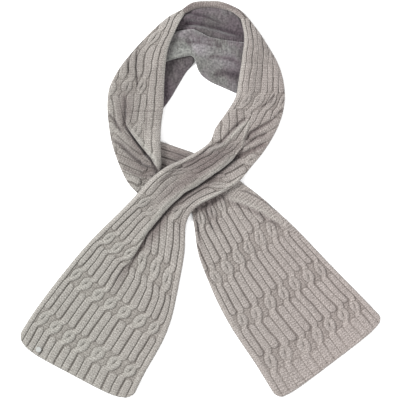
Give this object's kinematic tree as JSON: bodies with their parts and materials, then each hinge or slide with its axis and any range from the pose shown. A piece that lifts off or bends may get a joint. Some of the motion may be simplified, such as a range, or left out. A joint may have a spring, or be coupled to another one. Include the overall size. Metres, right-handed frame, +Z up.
{
  "type": "fleece-lined cable-knit scarf",
  "caption": "Grey cable-knit scarf with a fleece lining, laid flat as a neck loop with its two wide tails crossed in front.",
  "frame": {"origin": "middle of the laid scarf's footprint, on the surface it lies on", "axes": "+Z up off the surface, +Y towards the neck end of the loop, +X to the right of someone looking down at it with the tails towards them"},
  "size_m": [0.4918, 0.5373, 0.0255],
  "materials": {
    "knit": "soft heathered cable knit, matte",
    "fleece": "short-pile fleece, matte",
    "stud": "plain pale enamel"
  },
  "bodies": {
    "root": {"tail_left": "knit", "crossing_over": "knit", "loop_right": "knit", "neck_edge": "knit", "loop_left": "knit", "crossing_under": "knit", "tail_right": "knit", "neck_fleece_back": "fleece", "neck_fleece_front": "fleece", "loop_fleece_back": "fleece", "stud": "stud"}
  },
  "joints": []
}
